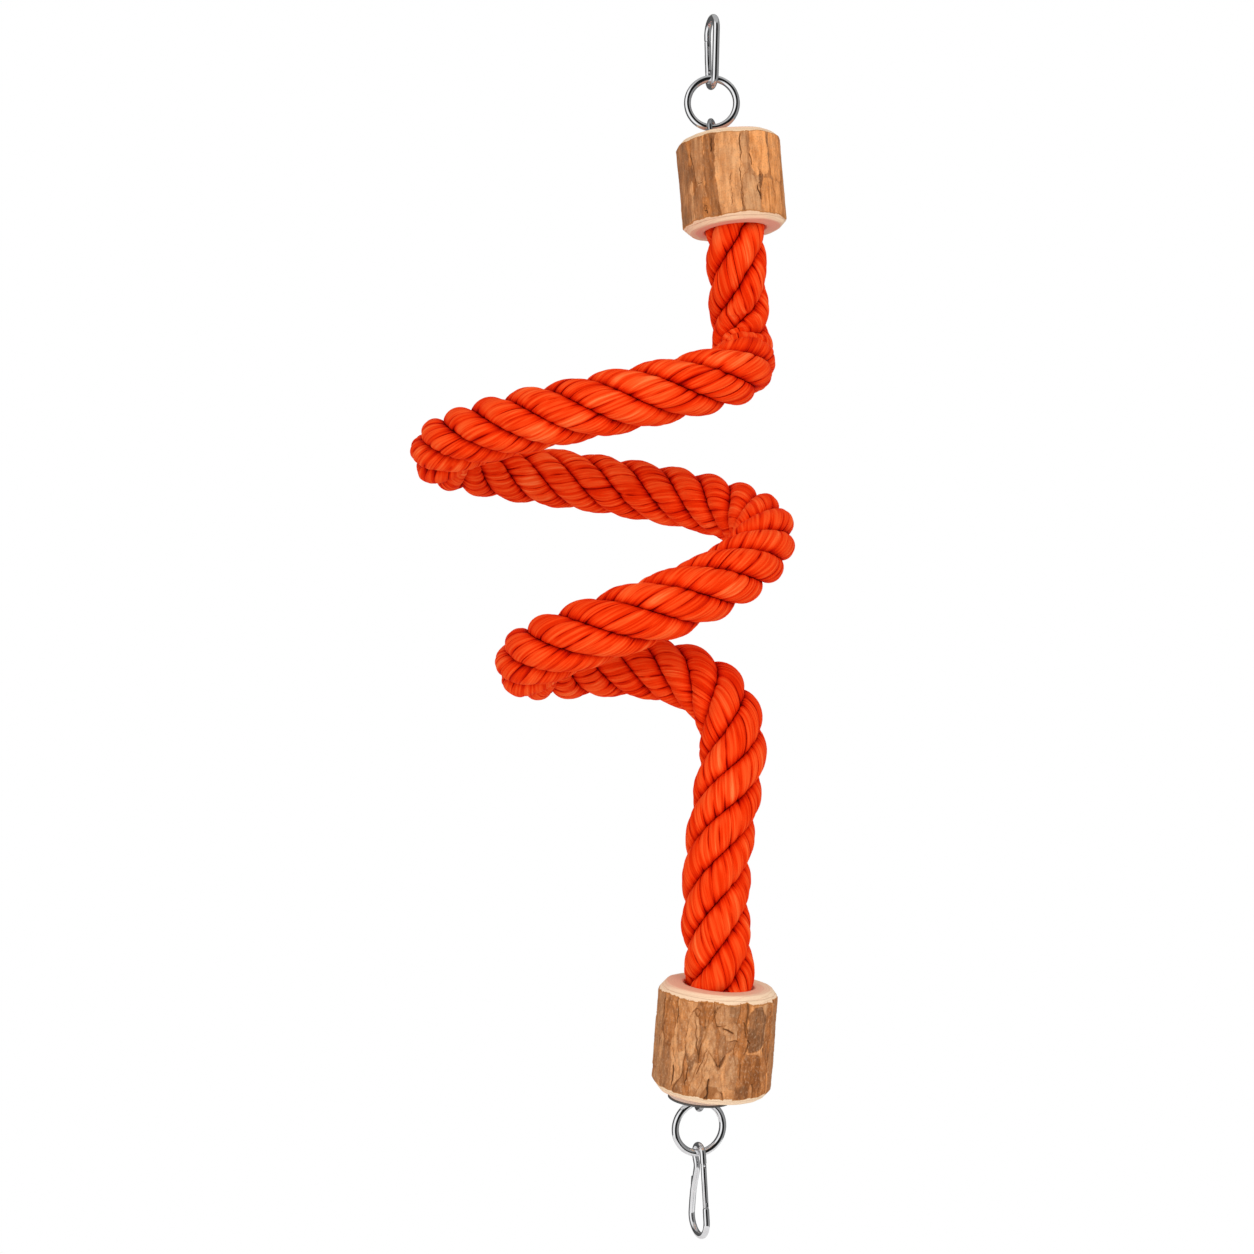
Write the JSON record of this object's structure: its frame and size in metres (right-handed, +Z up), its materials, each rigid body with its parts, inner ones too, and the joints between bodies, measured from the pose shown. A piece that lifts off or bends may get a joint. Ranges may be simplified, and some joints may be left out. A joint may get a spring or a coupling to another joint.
{
  "type": "hanging rope bird toy",
  "caption": "Hanging climbing toy for a parrot: a thick orange rope spiral between bark-covered log ends, with a snap hook and a ring at each end.",
  "frame": {"origin": "hanging point: inside top of the upper snap hook bow, where the cage bar or chain bears", "axes": "+Z up; +X to the right and +Y away from someone looking at the toy as pictured"},
  "size_m": [0.4463, 0.3511, 1.3743],
  "materials": {
    "chrome": "bright nickel plate",
    "steel": "zinc plated",
    "wood": "bare sawn, pinkish heart and cream sapwood",
    "bark": "natural bark",
    "rope": "four-strand laid rope, matt",
    "glue": "set glue"
  },
  "bodies": {
    "hook": {"top_hook_body": "chrome", "top_hook_rivet": "steel"},
    "hook_gate": {"top_hook_gate": "chrome", "top_hook_plunger": "steel", "top_hook_spring": "steel"},
    "upper_ring": {"top_ring": "chrome"},
    "perch": {"top_eye_bolt": "chrome", "top_eye_washer": "steel", "top_inner_washer": "steel", "top_eye_nut": "steel", "top_log_wood": "wood", "top_log_bark": "bark", "top_glue_plug": "glue", "rope": "rope", "core_wire": "steel"},
    "lower_log": {"bottom_log_wood": "wood", "bottom_log_bark": "bark", "bottom_glue_plug": "glue", "bottom_eye_bolt": "chrome", "bottom_dished_washer": "chrome", "bottom_inner_washer": "steel", "bottom_eye_nut": "steel"},
    "lower_ring": {"bottom_ring": "chrome"},
    "clip": {"bottom_hook_body": "chrome", "bottom_hook_rivet": "steel"},
    "clip_gate": {"bottom_hook_gate": "chrome", "bottom_hook_plunger": "steel", "bottom_hook_spring": "steel"}
  },
  "joints": [
    {"name": "top_gate_hinge", "type": "hinge", "parent": "hook", "child": "hook_gate", "pos_m": [-0.00331, 0.01156, -0.05544], "axis": [0.9613, 0.2756, 0], "range_deg": [0, 22], "stiffness_Nm_per_rad": 0.08, "springref_deg": -8.59},
    {"name": "top_ring_turn", "type": "hinge", "parent": "hook", "child": "upper_ring", "pos_m": [0, 0, -0.0925], "axis": [0, 0, 1], "range_deg": [-20, 52]},
    {"name": "perch_swing", "type": "hinge", "parent": "upper_ring", "child": "perch", "pos_m": [0, 0, -0.1205], "axis": [1, 0, 0], "range_deg": [-40, 40]},
    {"name": "rope_bounce", "type": "slide", "parent": "perch", "child": "lower_log", "axis": [0, 0, -1], "range_m": [-0.06, 0.12], "stiffness_N_per_m": 250, "springref_m": -0.0395, "deforming": ["rope", "core_wire"]},
    {"name": "bottom_ring_swing", "type": "hinge", "parent": "lower_log", "child": "lower_ring", "pos_m": [-0.01723, -0.058, -1.22381], "axis": [0.309, -0.9511, 0], "range_deg": [-35, 35]},
    {"name": "clip_swing", "type": "hinge", "parent": "lower_ring", "child": "clip", "pos_m": [-0.01723, -0.058, -1.27231], "axis": [0.9511, 0.309, 0], "range_deg": [-50, 50]},
    {"name": "clip_gate_hinge", "type": "hinge", "parent": "clip", "child": "clip_gate", "pos_m": [-0.01289, -0.06777, -1.28242], "axis": [0.9135, 0.4067, 0], "range_deg": [0, 22], "stiffness_Nm_per_rad": 0.08, "springref_deg": -8.59}
  ]
}
